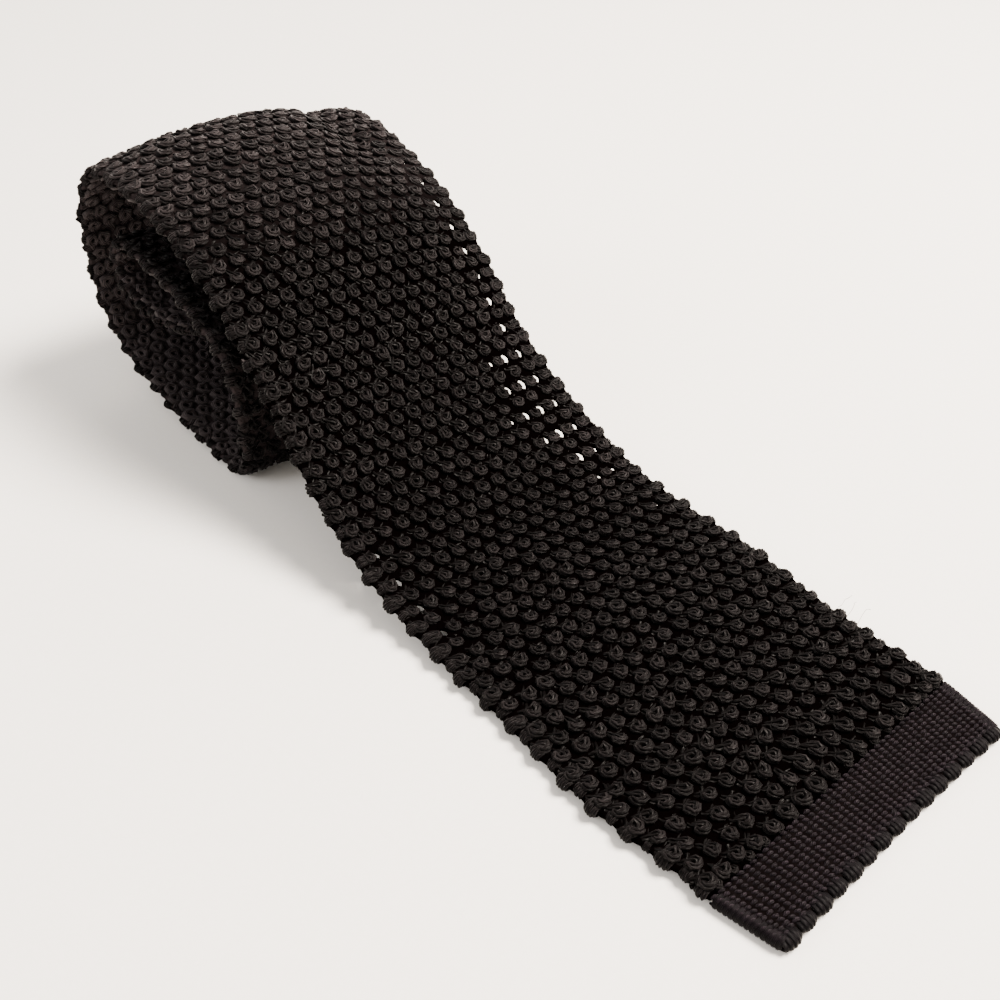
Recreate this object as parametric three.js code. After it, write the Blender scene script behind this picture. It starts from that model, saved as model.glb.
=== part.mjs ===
// Knit tie, lying on a surface: the wide blade runs flat from its hem, climbs and is rolled up on itself.
// Millimetres, +Z up. X runs along the tie toward the hem, Y across it, and Z = 0 is the surface it lies on.

import * as THREE from "three";

// Cloth sizes
const BLADE_WIDTH = 60;          // across the blade, over the tips of the side scallops
const BLADE_THICKNESS = 3;       // the flattened knitted tube, over the bobbles of both faces
const HEM_LENGTH = 11;           // the tight plain band at the end of the blade
const HEM_JOIN_WIDTH = 57;       // the band's width where the bobbles begin
const HEM_END_WIDTH = 53;        // the band draws in toward its end
const HEM_SLANT = 3.2;           // the far side of the band and of the first rows lies this far back
const HEM_BOW = 0.6;             // the middle of the band's end lies this far back from its corners
const HEM_DRIFT = -0.3;           // the band lies this far to the near side of the roll's middle
const HEM_THICKNESS = 2.2;
const NECK_WIDTH = 38;           // the narrow part that lies inside the roll
const NECK_THICKNESS = 2.2;
const JOINT_GAP = 0.3;           // between pieces that meet in one strip

// Knit sizes
const ROW_PITCH = 3.06;          // from one row of bobbles to the next
const SCALLOP_DEPTH = 1.1;       // how far a side scallop stands out beyond the notch beside it
const HEM_SCALLOPS = 15;         // along the end of the hem band
const HEM_SCALLOP_DEPTH = 0.9;

// Roll sizes
const TAIL_FLAT = 47;            // blade lying on the surface between the hem band and the rise
const SLANT_FADE = 33;           // the slant of the hem fades out over this much of the flat tail
const RISE_RADIUS = 86.4;        // the bend from the surface into the climb
const ROLL_SIZE = 50;            // the roll's height at its side edge
const CREST_RADIUS = 67;         // the bend from the climb over to the top of the roll
const CLIMB = 43.5;              // the slope on which the blade climbs the roll, in degrees
const CROWN = 4.2;               // how far the middle of the blade bulges above its sides on the roll
const SIDE_LIFT = 2.6;           // how far one side lies above the other along the blade
const SIDE_DRIFT = 1;            // how far the blade wanders sideways between the hem and the crest

const DEGREE = Math.PI / 180;

// The way of the cloth, from the hem band inward. Each row is a straight (turn 0, with a length) or an arc
// (turn in degrees, with a radius; positive curls the cloth over toward its underside). The last columns hold
// at the row's end: width as a share of the blade's width, crown as a share of CROWN, lift, the height of the
// far side above the near side, as a share of SIDE_LIFT, and drift, the way that the middle lies to the far
// side, as a share of SIDE_DRIFT. The drop down the back gets its length from withBackDrop.
const WAY = [
  { name: "hem_join", turn: 0, length: 0, width: 0.98, crown: 0, lift: 0, drift: -0.4 },
  { name: "tail", turn: 0, length: 0.45 * TAIL_FLAT, width: 1.01, crown: 0, lift: 0.1, drift: -1.3 },
  { name: "tail", turn: 0, length: 0.55 * TAIL_FLAT, width: 1, crown: 0, lift: 0.7, drift: -0.4 },
  { name: "rise", turn: -0.45 * CLIMB, radius: RISE_RADIUS, width: 0.99, crown: -0.2, lift: 0.1, drift: -0.8 },
  { name: "rise", turn: -0.55 * CLIMB, radius: RISE_RADIUS, width: 0.97, crown: -0.1, lift: -0.9, drift: 0.2 },
  { name: "slope", turn: 0, length: 0.12 * ROLL_SIZE, width: 0.975, crown: 0.1, lift: -1, drift: 0.5 },
  { name: "crest", turn: 0.6 * CLIMB, radius: CREST_RADIUS, width: 0.99, crown: 0.75, lift: -0.9, drift: 1 },
  { name: "crest", turn: 0.4 * CLIMB, radius: CREST_RADIUS, width: 1, crown: 1, lift: -0.5, drift: 1 },
  { name: "upper_back", turn: 90, radius: 0.36 * ROLL_SIZE, width: 1, crown: 0.4, lift: 0, drift: 1 },
  { name: "back_drop", turn: 0, length: 0, width: 1, crown: 0.3, lift: 0, drift: 1 },
  { name: "lower_back", turn: 73, radius: 0.36 * ROLL_SIZE, width: 1, crown: 0, lift: 0, drift: 1 },
  { name: "sole", turn: 17, radius: 2.74 * ROLL_SIZE, width: 1, crown: 0, lift: 0, drift: 1 },
  { name: "toe", turn: 93, radius: 0.11 * ROLL_SIZE, width: 1, crown: 0, lift: 0, drift: 1 },
  { name: "front_wall", turn: 0, length: 0.22 * ROLL_SIZE, width: 1, crown: 0, lift: 0, drift: 1 },
  { name: "shoulder", turn: 65, radius: 0.24 * ROLL_SIZE, width: 1, crown: 0, lift: 0, drift: 1 },
  { name: "inner_top", turn: 22, radius: 1.7 * ROLL_SIZE, width: 1, crown: 0, lift: 0, drift: 1 },
  { name: "inner_back", turn: 155, radius: 0.104 * ROLL_SIZE, width: 1, crown: 0, lift: 0, drift: 1 },
  { name: "inner_floor", turn: 25, radius: 0.6 * ROLL_SIZE, width: 0.97, crown: 0, lift: 0, drift: 1 },
  { name: "inner_floor", turn: 0, length: 0.25 * ROLL_SIZE, width: 0.8, crown: 0, lift: 0, drift: 1 },
];

// The narrow part goes on from there: it turns up and back inside the hollow, and ends in it.
const NECK_WAY = [
  { name: "neck_turn", turn: 180, radius: 0.052 * ROLL_SIZE },
  { name: "neck_run", turn: 0, length: 0.34 * ROLL_SIZE },
];

// The point reached after part of a row. A heading of 180 degrees points away from the hem.
function advance(start, row, share) {
  if (row.turn === 0) {
    const reach = row.length * share;
    const along = start.heading * DEGREE;
    return {
      x: start.x + reach * Math.cos(along),
      z: start.z + reach * Math.sin(along),
      heading: start.heading,
    };
  }
  const turn = row.turn * share;
  const radius = row.radius * Math.sign(row.turn);
  const before = start.heading * DEGREE;
  const after = (start.heading + turn) * DEGREE;
  return {
    x: start.x + radius * (Math.sin(after) - Math.sin(before)),
    z: start.z + radius * (Math.cos(before) - Math.cos(after)),
    heading: start.heading + turn,
  };
}

function rowLength(row) {
  const turn = Math.abs(row.turn) * DEGREE;
  return turn === 0 ? row.length : turn * row.radius;
}

// The drop down the back is worked out, so that the sole rests on the surface again.
function withBackDrop(way, startHeight, restHeight) {
  let at = { x: 0, z: startHeight, heading: 180 };
  for (const row of way) {
    at = advance(at, row, 1);
    if (row.name === "sole") {
      break;
    }
  }
  const drop = at.z - restHeight;
  return way.map((row) => (row.name === "back_drop" ? { ...row, length: drop } : row));
}

// Every point of the way as a function of the length walked from its start.
function makeWalk(way, start) {
  const pieces = [];
  let at = start;
  let walked = 0;
  let before = way[0];
  for (const row of way) {
    const length = rowLength(row);
    pieces.push({ row, from: at, walked, length, before });
    at = advance(at, row, 1);
    walked += length;
    before = row;
  }
  const smooth = (share) => share * share * (3 - 2 * share);
  const placeAt = (length) => {
    const last = pieces[pieces.length - 1];
    const piece = pieces.find((item) => length <= item.walked + item.length) ?? last;
    const share = piece.length > 0 ? Math.min(1, (length - piece.walked) / piece.length) : 0;
    const mix = (key) => THREE.MathUtils.lerp(piece.before[key], piece.row[key], smooth(share));
    const form = { width: mix("width"), crown: mix("crown"), lift: mix("lift"), drift: mix("drift") };
    return { ...advance(piece.from, piece.row, share), ...form, walked: length };
  };
  return { placeAt, length: walked, end: at };
}

// One closed ring of points round the cloth, square to its way. near and far are the Y of its two sides.
const FACE_SHARES = [-0.965, -0.6, -0.2, 0.2, 0.6, 0.965];

function ringAt(place, thickness, near, far, crown, lift, slant) {
  const outX = Math.sin(place.heading * DEGREE);
  const outZ = -Math.cos(place.heading * DEGREE);
  const half = (far - near) / 2;
  const middle = (far + near) / 2;
  const point = (share, depth) => {
    const bulge = crown * (1 - share * share) + lift * (share + 1) / 2;
    const out = bulge + depth;
    const back = slant * (share + 1) / 2;
    return [place.x + outX * out - back, middle + half * share, place.z + outZ * out];
  };
  const upper = FACE_SHARES.map((share) => point(share, thickness / 2));
  const lower = FACE_SHARES.map((share) => point(share, -thickness / 2)).reverse();
  return [...upper, point(1, 0), ...lower, point(-1, 0)];
}

// Joins the rings into one closed body with flat ends.
function bodyFromRings(rings) {
  const count = rings[0].length;
  const positions = rings.flat(2);
  const index = [];
  const at = (ring, corner) => ring * count + ((corner + count) % count);
  for (let ring = 0; ring + 1 < rings.length; ring += 1) {
    for (let corner = 0; corner < count; corner += 1) {
      index.push(at(ring, corner), at(ring, corner + 1), at(ring + 1, corner + 1));
      index.push(at(ring, corner), at(ring + 1, corner + 1), at(ring + 1, corner));
    }
  }
  // An end is a strip between its upper and its lower face, with a corner triangle at each side.
  const faces = FACE_SHARES.length;
  const endCap = (ring, flip) => {
    const add = (a, b, c) => {
      const corners = flip ? [a, c, b] : [a, b, c];
      index.push(...corners.map((corner) => at(ring, corner)));
    };
    for (let step = 0; step + 1 < faces; step += 1) {
      const low = 2 * faces - step;
      add(step, low - 1, step + 1);
      add(step, low, low - 1);
    }
    add(faces - 1, faces + 1, faces);
    add(count - 1, 2 * faces, 0);
  };
  endCap(0, false);
  endCap(rings.length - 1, true);
  const geometry = new THREE.BufferGeometry();
  geometry.setAttribute("position", new THREE.Float32BufferAttribute(positions, 3));
  geometry.setIndex(index);
  return geometry;
}

// The side of the blade has a full scallop beside every second row and a low one beside the rows between.
function notchDepth(halfRow) {
  const phase = ((halfRow % 4) + 4) % 4;
  if (phase === 0) {
    return 0;
  }
  return phase === 2 ? SCALLOP_DEPTH * 0.4 : SCALLOP_DEPTH;
}

function bladeGeometry(walk) {
  const halfRows = Math.floor(walk.length / (ROW_PITCH / 2));
  const step = walk.length / halfRows;
  const rings = [];
  for (let halfRow = 0; halfRow <= halfRows; halfRow += 1) {
    const place = walk.placeAt(halfRow * step);
    const half = place.width * BLADE_WIDTH / 2;
    const drift = place.drift * SIDE_DRIFT;
    const near = drift - half + notchDepth(halfRow + 2);
    const far = drift + half - notchDepth(halfRow);
    const slant = HEM_SLANT * Math.max(0, 1 - place.walked / SLANT_FADE);
    rings.push(ringAt(place, BLADE_THICKNESS, near, far, place.crown * CROWN, place.lift * SIDE_LIFT, slant));
  }
  return bodyFromRings(rings);
}

function neckGeometry(walk, startWidth) {
  const steps = Math.ceil(walk.length / (ROW_PITCH / 2));
  const rings = [];
  for (let step = 0; step <= steps; step += 1) {
    const share = step / steps;
    const place = walk.placeAt(walk.length * share);
    const half = THREE.MathUtils.lerp(startWidth, NECK_WIDTH, Math.min(1, share * 2)) / 2;
    const drift = place.drift * SIDE_DRIFT;
    rings.push(ringAt(place, NECK_THICKNESS, drift - half, drift + half, 0, 0, 0));
  }
  return bodyFromRings(rings);
}

// The hem band is flat: straight sides drawn in toward the end, and a row of small scallops along the end.
function hemGeometry() {
  const outline = new THREE.Shape();
  const join = HEM_LENGTH - JOINT_GAP / 2;
  const slantAt = (y) => HEM_SLANT * (y / HEM_JOIN_WIDTH + 0.5);
  const bowAt = (y) => HEM_BOW * (1 - (2 * y / HEM_END_WIDTH) ** 2);
  const endCorner = (depth, y) => outline.lineTo(-depth - slantAt(y) - bowAt(y), y + HEM_DRIFT);
  outline.moveTo(-join - slantAt(HEM_JOIN_WIDTH / 2), HEM_JOIN_WIDTH / 2 + HEM_DRIFT);
  outline.lineTo(-join, -HEM_JOIN_WIDTH / 2 + HEM_DRIFT);
  const pitch = HEM_END_WIDTH / HEM_SCALLOPS;
  for (let scallop = 0; scallop < HEM_SCALLOPS; scallop += 1) {
    const from = -HEM_END_WIDTH / 2 + scallop * pitch;
    endCorner(HEM_SCALLOP_DEPTH, from);
    endCorner(0, from + pitch * 0.3);
    endCorner(0, from + pitch * 0.7);
  }
  endCorner(HEM_SCALLOP_DEPTH, HEM_END_WIDTH / 2);
  outline.closePath();
  return new THREE.ExtrudeGeometry(outline, { depth: HEM_THICKNESS, bevelEnabled: false });
}

const cloth = (name, color, roughness) =>
  new THREE.MeshStandardMaterial({ name, color, roughness, metalness: 0 });

// The way starts where the hem band ends, with the hem's end at X = 0.
const way = withBackDrop(WAY, BLADE_THICKNESS / 2, BLADE_THICKNESS / 2);
const bladeStart = { x: -HEM_LENGTH - JOINT_GAP / 2, z: BLADE_THICKNESS / 2, heading: 180 };
const bladeWalk = makeWalk(way, bladeStart);
const lastRow = way[way.length - 1];
const neckStart = advance(bladeWalk.end, { turn: 0, length: JOINT_GAP }, 1);
const plainNeck = NECK_WAY.map((row) => ({ ...row, width: 1, crown: 0, lift: 0, drift: lastRow.drift }));
const neckWalk = makeWalk(plainNeck, neckStart);
const neckStartWidth = lastRow.width * BLADE_WIDTH - 2 * SCALLOP_DEPTH;

const tie = new THREE.Group();
tie.name = "knit_tie";

const pieces = [
  ["blade", bladeGeometry(bladeWalk), cloth("Black bobble knit", 0x1d191a, 0.85)],
  ["hem_band", hemGeometry(), cloth("Black fine knit", 0x211a1d, 0.8)],
  ["neckband", neckGeometry(neckWalk, neckStartWidth), cloth("Black narrow knit", 0x1a1718, 0.85)],
];
for (const [name, geometry, material] of pieces) {
  const mesh = new THREE.Mesh(geometry, material);
  mesh.name = name;
  tie.add(mesh);
}

// The origin is the middle of the underside.
tie.updateMatrixWorld(true);
const box = new THREE.Box3().setFromObject(tie);
const middle = box.getCenter(new THREE.Vector3());
for (const mesh of tie.children) {
  mesh.position.set(-middle.x, -middle.y, -box.min.z);
}
tie.updateMatrixWorld(true);

export default tie;
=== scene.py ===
"""Knit tie, lying with its blade flat to the hem and the rest loosely rolled up on itself.

Metres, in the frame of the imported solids: +X runs toward the hem, +Y across the blade, +Z up.
The knit is worked out on flat cloth, in millimetres (along, across, out), and then laid along the way
that the cloth takes over and into the roll.
"""

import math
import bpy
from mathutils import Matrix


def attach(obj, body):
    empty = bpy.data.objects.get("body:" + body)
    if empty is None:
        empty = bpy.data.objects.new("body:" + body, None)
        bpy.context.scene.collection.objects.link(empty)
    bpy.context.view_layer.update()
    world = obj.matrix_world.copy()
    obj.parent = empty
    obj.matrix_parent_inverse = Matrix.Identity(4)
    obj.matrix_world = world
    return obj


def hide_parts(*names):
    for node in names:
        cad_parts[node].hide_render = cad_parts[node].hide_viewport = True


bl_info = {
    "name": "Knit tie",
    "version": (1, 0, 0),
    "blender": (4, 5, 0),
    "location": "3D Viewport > Sidebar > Knit tie",
    "description": "Builds a partly rolled knit tie on a plain pale stage",
    "category": "Object",
}

from collections import namedtuple

import bpy
import numpy as np
from mathutils import Matrix, Vector

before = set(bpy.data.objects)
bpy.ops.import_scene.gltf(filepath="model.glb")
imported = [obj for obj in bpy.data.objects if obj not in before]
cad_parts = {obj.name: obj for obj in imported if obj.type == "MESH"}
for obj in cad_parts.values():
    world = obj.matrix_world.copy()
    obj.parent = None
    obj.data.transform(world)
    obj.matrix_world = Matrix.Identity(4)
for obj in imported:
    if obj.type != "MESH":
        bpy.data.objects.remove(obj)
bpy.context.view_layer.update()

MM = 0.001


def linear(hex_colour):
    """Linear colour of an sRGB hex value."""
    channels = [int(hex_colour[index:index + 2], 16) / 255 for index in (1, 3, 5)]
    return tuple(c / 12.92 if c <= 0.04045 else ((c + 0.055) / 1.055) ** 2.4 for c in channels) + (1.0,)


class TieClothSettings(bpy.types.PropertyGroup):
    """The cloth of the blade and its stitches."""

    blade_width: bpy.props.FloatProperty(
        name="Blade width", description="Across the blade, over the side scallops", default=0.060,
        unit="LENGTH")
    row_pitch: bpy.props.FloatProperty(
        name="Row pitch", description="From one row of bobbles to the next", default=0.00306, unit="LENGTH")
    bobbles: bpy.props.IntProperty(
        name="Bobbles", description="Bobbles in every second row, the rows between have one less", default=17)
    ply_radius: bpy.props.FloatProperty(
        name="Ply radius", description="Radius of one ply of the bobble yarn", default=0.00023, unit="LENGTH")
    seed: bpy.props.IntProperty(
        name="Seed", description="Seed of the small differences between stitches", default=11,
        subtype="UNSIGNED")
    # The two yarn colours below are the black yarn in painted shade and the same yarn in painted light on the
    # tops of the loops; the ground colour is the ground in painted light
    shaded_yarn: bpy.props.FloatVectorProperty(
        name="Shaded yarn", description="Colour of the yarn deep in the knit", default=linear("#020101"),
        size=4, min=0, max=1, subtype="COLOR")
    lit_yarn: bpy.props.FloatVectorProperty(
        name="Lit yarn", description="Colour of the bobble yarn on the tops of the loops",
        default=linear("#474041"), size=4, min=0, max=1, subtype="COLOR")
    lit_ground: bpy.props.FloatVectorProperty(
        name="Lit ground", description="Colour of the ground stitches where light reaches them",
        default=linear("#4A4243"), size=4, min=0, max=1, subtype="COLOR")


class TieWaySettings(bpy.types.PropertyGroup):
    """The way that the cloth takes over the surface and into the roll."""

    tail_flat: bpy.props.FloatProperty(
        name="Flat tail", description="Blade lying on the surface before it rises", default=0.047,
        unit="LENGTH")
    rise_radius: bpy.props.FloatProperty(
        name="Rise radius", description="Bend from the surface into the climb", default=0.0864, unit="LENGTH")
    crest_radius: bpy.props.FloatProperty(
        name="Crest radius", description="Bend from the climb to the top of the roll", default=0.067,
        unit="LENGTH")
    roll_size: bpy.props.FloatProperty(
        name="Roll size", description="Height of the roll at its side edge", default=0.050, unit="LENGTH")
    climb: bpy.props.FloatProperty(
        name="Climb", description="Slope on which the blade climbs the roll", default=math.radians(43.5),
        subtype="ANGLE")
    crown: bpy.props.FloatProperty(
        name="Crown", description="How far the blade's middle bulges on the roll", default=0.0042,
        unit="LENGTH")
    side_lift: bpy.props.FloatProperty(
        name="Side lift", description="How far one side lies above the other", default=0.0026, unit="LENGTH")
    side_drift: bpy.props.FloatProperty(
        name="Side drift", description="How far the blade wanders sideways", default=0.001, unit="LENGTH")


class TieHemSettings(bpy.types.PropertyGroup):
    """The fine band at the end of the blade."""

    length: bpy.props.FloatProperty(
        name="Length", description="Length of the band along the tie", default=0.011, unit="LENGTH")
    join_width: bpy.props.FloatProperty(
        name="Join width", description="Width where the bobbles begin", default=0.057, unit="LENGTH")
    end_width: bpy.props.FloatProperty(
        name="End width", description="Width at the end of the tie", default=0.053, unit="LENGTH")
    thickness: bpy.props.FloatProperty(
        name="Thickness", description="Thickness over both faces", default=0.0022, unit="LENGTH")
    slant: bpy.props.FloatProperty(
        name="Slant", description="How far back the far side of the end lies", default=0.0032, unit="LENGTH")
    slant_fade: bpy.props.FloatProperty(
        name="Slant fade", description="Length of blade over which the slant fades out", default=0.033,
        unit="LENGTH")
    bow: bpy.props.FloatProperty(
        name="Bow", description="How far back the middle of the end lies", default=0.0006, unit="LENGTH")
    drift: bpy.props.FloatProperty(
        name="Drift", description="How far the band lies to one side", default=-0.0003, unit="LENGTH")
    scallops: bpy.props.IntProperty(
        name="Scallops", description="Small scallops along the end", default=15)
    courses: bpy.props.IntProperty(
        name="Courses", description="Fine rows of stitches in the band", default=13)
    wales: bpy.props.IntProperty(
        name="Wales", description="Fine stitches across the band", default=43)
    # The two colours below are the fine black yarn in painted shade and the same yarn in painted light
    shaded_yarn: bpy.props.FloatVectorProperty(
        name="Shaded yarn", description="Colour of the fine yarn deep in the knit", default=linear("#030203"),
        size=4, min=0, max=1, subtype="COLOR")
    lit_yarn: bpy.props.FloatVectorProperty(
        name="Lit yarn", description="Colour of the fine yarn on the tops of the stitches",
        default=linear("#261E24"), size=4, min=0, max=1, subtype="COLOR")


class TieNeckSettings(bpy.types.PropertyGroup):
    """The narrow part inside the roll."""

    width: bpy.props.FloatProperty(
        name="Width", description="Width of the narrow part", default=0.038, unit="LENGTH")
    run: bpy.props.FloatProperty(
        name="Run", description="Straight length inside the hollow", default=0.017, unit="LENGTH")
    # The colour below is the black yarn in painted light on the tops of the loops
    lit_yarn: bpy.props.FloatVectorProperty(
        name="Lit yarn", description="Colour of the yarn on the tops of the loops",
        default=linear("#2A2425"), size=4, min=0, max=1, subtype="COLOR")


class TieStageSettings(bpy.types.PropertyGroup):
    """Floor, lights and camera."""

    floor_size: bpy.props.FloatProperty(
        name="Floor size", description="Side of the square floor", default=4.0, unit="LENGTH")
    window_power: bpy.props.FloatProperty(
        name="Window power", description="Power of the big soft light behind the tie", default=46.0,
        unit="POWER")
    back_power: bpy.props.FloatProperty(
        name="Back power", description="Power of the low soft light behind the roll", default=4.0,
        unit="POWER")
    fill_power: bpy.props.FloatProperty(
        name="Fill power", description="Power of the soft light from the near side", default=6.0,
        unit="POWER")
    room_light: bpy.props.FloatProperty(
        name="Room light", description="Brightness of the light from all round", default=1.12,
        subtype="FACTOR")
    floor_colour: bpy.props.FloatVectorProperty(
        name="Floor colour", description="Colour of the painted board", default=linear("#F8F5F1"), size=4,
        min=0, max=1, subtype="COLOR")
    lens: bpy.props.FloatProperty(
        name="Lens", description="Focal length on a 36 mm wide sensor", default=43.2, unit="CAMERA")
    eye: bpy.props.FloatVectorProperty(
        name="Eye", description="Place of the camera", default=(0.13613, -0.10918, 0.13404),
        subtype="TRANSLATION")
    pitch: bpy.props.FloatProperty(
        name="Pitch", description="Downward tilt of the camera", default=math.radians(36.82), subtype="ANGLE")
    heading: bpy.props.FloatProperty(
        name="Heading", description="Direction in which the camera looks", default=math.radians(139.69),
        subtype="ANGLE")
    roll: bpy.props.FloatProperty(
        name="Roll", description="Turn of the camera about its own axis", default=math.radians(-0.74),
        subtype="ANGLE")


# Way of the cloth

# A row is a straight (turn 0) or an arc (turn in degrees, positive curls toward the underside). The last
# four columns hold at the row's end: width as a share of the blade's width, and crown, lift and drift as
# shares of the sizes of the same name.
Row = namedtuple("Row", "name turn radius length width crown lift drift")

# Millimetres: the hem's end and the middle of the blade in the frame of the solids, the blade's thickness,
# and the gap between one solid and the next
HEM_END_X = 94.713
MIDDLE_Y = 0.3
CLOTH_THICKNESS = 3.0
JOINT_GAP = 0.3
# Stitches that touch the surface are pressed flat this far above it
SURFACE_GAP = 0.02


def cloth_way(scene):
    """The rows of the way from the hem band inward, in millimetres, with the drop down the back solved."""
    way = scene.tie_way
    climb = math.degrees(way.climb)
    tail, roll = way.tail_flat / MM, way.roll_size / MM
    rise, crest = way.rise_radius / MM, way.crest_radius / MM
    rows = [
        Row("hem_join", 0, 0, 0, 0.98, 0, 0, -0.4),
        Row("tail", 0, 0, 0.45 * tail, 1.01, 0, 0.1, -1.3),
        Row("tail", 0, 0, 0.55 * tail, 1, 0, 0.7, -0.4),
        Row("rise", -0.45 * climb, rise, 0, 0.99, -0.2, 0.1, -0.8),
        Row("rise", -0.55 * climb, rise, 0, 0.97, -0.1, -0.9, 0.2),
        Row("slope", 0, 0, 0.12 * roll, 0.975, 0.1, -1, 0.5),
        Row("crest", 0.6 * climb, crest, 0, 0.99, 0.75, -0.9, 1),
        Row("crest", 0.4 * climb, crest, 0, 1, 1, -0.5, 1),
        Row("upper_back", 90, 0.36 * roll, 0, 1, 0.4, 0, 1),
        Row("back_drop", 0, 0, 0, 1, 0.3, 0, 1),
        Row("lower_back", 73, 0.36 * roll, 0, 1, 0, 0, 1),
        Row("sole", 17, 2.74 * roll, 0, 1, 0, 0, 1),
        Row("toe", 93, 0.11 * roll, 0, 1, 0, 0, 1),
        Row("front_wall", 0, 0, 0.22 * roll, 1, 0, 0, 1),
        Row("shoulder", 65, 0.24 * roll, 0, 1, 0, 0, 1),
        Row("inner_top", 22, 1.7 * roll, 0, 1, 0, 0, 1),
        Row("inner_back", 155, 0.104 * roll, 0, 1, 0, 0, 1),
        Row("inner_floor", 25, 0.6 * roll, 0, 0.97, 0, 0, 1),
        Row("inner_floor", 0, 0, 0.25 * roll, 0.8, 0, 0, 1),
    ]
    rest = CLOTH_THICKNESS / 2
    x, z, heading = 0.0, rest, 180.0
    for row in rows:
        x, z, heading = advance(x, z, heading, row, 1)
        if row.name == "sole":
            break
    drop = z - rest
    return [row._replace(length=drop) if row.name == "back_drop" else row for row in rows]


def advance(x, z, heading, row, share):
    """Place and heading after part of a row. A heading of 180 degrees points away from the hem."""
    before = math.radians(heading)
    if row.turn == 0:
        reach = row.length * share
        return x + reach * math.cos(before), z + reach * math.sin(before), heading
    after = before + math.radians(row.turn * share)
    radius = math.copysign(row.radius, row.turn)
    return (x + radius * (math.sin(after) - math.sin(before)),
            z + radius * (math.cos(before) - math.cos(after)),
            heading + row.turn * share)


class FlatFrame:
    """Takes points that are already in their place, in millimetres."""

    def lay(self, points):
        return pressed_down(np.array(points))


def pressed_down(places):
    """Places in metres, with the stitches that touch the surface pressed flat on it."""
    places[:, 2] = np.maximum(places[:, 2], SURFACE_GAP)
    return places * MM


def smooth_step(values):
    """Goes from 0 to 1 as the values do, with a soft start and a soft end."""
    share = np.clip(values, 0, 1)
    return share * share * (3 - 2 * share)


def row_wander(along, across):
    """How far the rows stand back from straight ones, in millimetres: they step back in the blade's middle
    on the flat stretch and the climb, and swing forward on the far side over the crest."""
    step = smooth_step((across + 13) / 14) * smooth_step(along / 9) * smooth_step((78 - along) / 14)
    swing = smooth_step((along - 96) / 50) * smooth_step((205 - along) / 35)
    return 1.8 * step - 3.2 * np.clip(across / 30, 0, 1) ** 1.4 * swing


class Cloth:
    """Lays flat cloth points (along, across, out) along a way. Everything is in millimetres."""

    STEP = 0.2

    def __init__(self, rows, start, half_width, forms):
        lines = []
        x, z, heading = start
        walked = 0.0
        before = rows[0]
        for row in rows:
            length = row.length if row.turn == 0 else math.radians(abs(row.turn)) * row.radius
            count = max(1, round(length / self.STEP))
            for step in range(count + 1):
                share = step / count
                ease = smooth_step(share)
                px, pz, ph = advance(x, z, heading, row, share)
                form = [getattr(before, key) + (getattr(row, key) - getattr(before, key)) * ease
                        for key in ("width", "crown", "lift", "drift")]
                lines.append([walked + length * share, px, pz, ph, *form])
            x, z, heading = advance(x, z, heading, row, 1)
            walked += length
            before = row
        self.table = np.array(lines)
        self.length = walked
        self.half_width = half_width
        self.forms = forms
        self.end = (x, z, heading)

    def lay(self, points):
        """Scene places in metres of an array of flat points in millimetres."""
        across, out = points[:, 1], points[:, 2]
        along = points[:, 0] + self.forms["wander"] * row_wander(points[:, 0], across)
        place = [np.interp(along, self.table[:, 0], self.table[:, column]) for column in range(1, 8)]
        x, z, heading, width, crown, lift, drift = place
        # Points before the start or past the end go straight on
        over = along - np.clip(along, 0, self.length)
        turn = np.radians(heading)
        x = x + over * np.cos(turn)
        z = z + over * np.sin(turn)
        share = across / self.half_width
        # A dent in the top of the roll, toward the far side
        dent = self.forms["dent"] * np.exp(-((across - 18.5) / 3.4) ** 2 - ((along - 166) / 15) ** 2)
        raised = (crown * self.forms["crown"] * (1 - share * share) - dent
                  + lift * self.forms["lift"] * (share + 1) / 2 + out)
        fade = np.clip(1 - along / self.forms["fade"], 0, 1.5)
        back = self.forms["slant"] * fade * (share + 1) / 2
        laid = np.stack([
            x + np.sin(turn) * raised - back + HEM_END_X,
            drift * self.forms["drift"] + across * width + MIDDLE_Y,
            z - np.cos(turn) * raised,
        ], axis=1)
        return pressed_down(laid)


def blade_cloth(scene):
    """The blade's cloth, which begins where the hem band ends."""
    way, hem = scene.tie_way, scene.tie_hem
    forms = {
        "crown": way.crown / MM,
        "lift": way.side_lift / MM,
        "drift": way.side_drift / MM,
        "slant": hem.slant / MM,
        "fade": hem.slant_fade / MM,
        "wander": 1,
        "dent": 1.7,
    }
    start = (-hem.length / MM - JOINT_GAP / 2, CLOTH_THICKNESS / 2, 180.0)
    return Cloth(cloth_way(scene), start, scene.tie_cloth.blade_width / MM / 2, forms)


# Yarn shapes on flat cloth

def smooth_path(points, count):
    """A curve of so many points through the given ones."""
    points = np.asarray(points, float)
    padded = np.vstack([2 * points[0] - points[1], points, 2 * points[-1] - points[-2]])
    curve = []
    for position in np.linspace(0, len(points) - 1, count):
        first = min(int(position), len(points) - 2)
        t = position - first
        a, b, c, d = padded[first:first + 4]
        curve.append(0.5 * (2 * b + (c - a) * t + (2 * a - 5 * b + 4 * c - d) * t * t
                            + (3 * b - a - 3 * c + d) * t ** 3))
    return np.array(curve)


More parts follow.
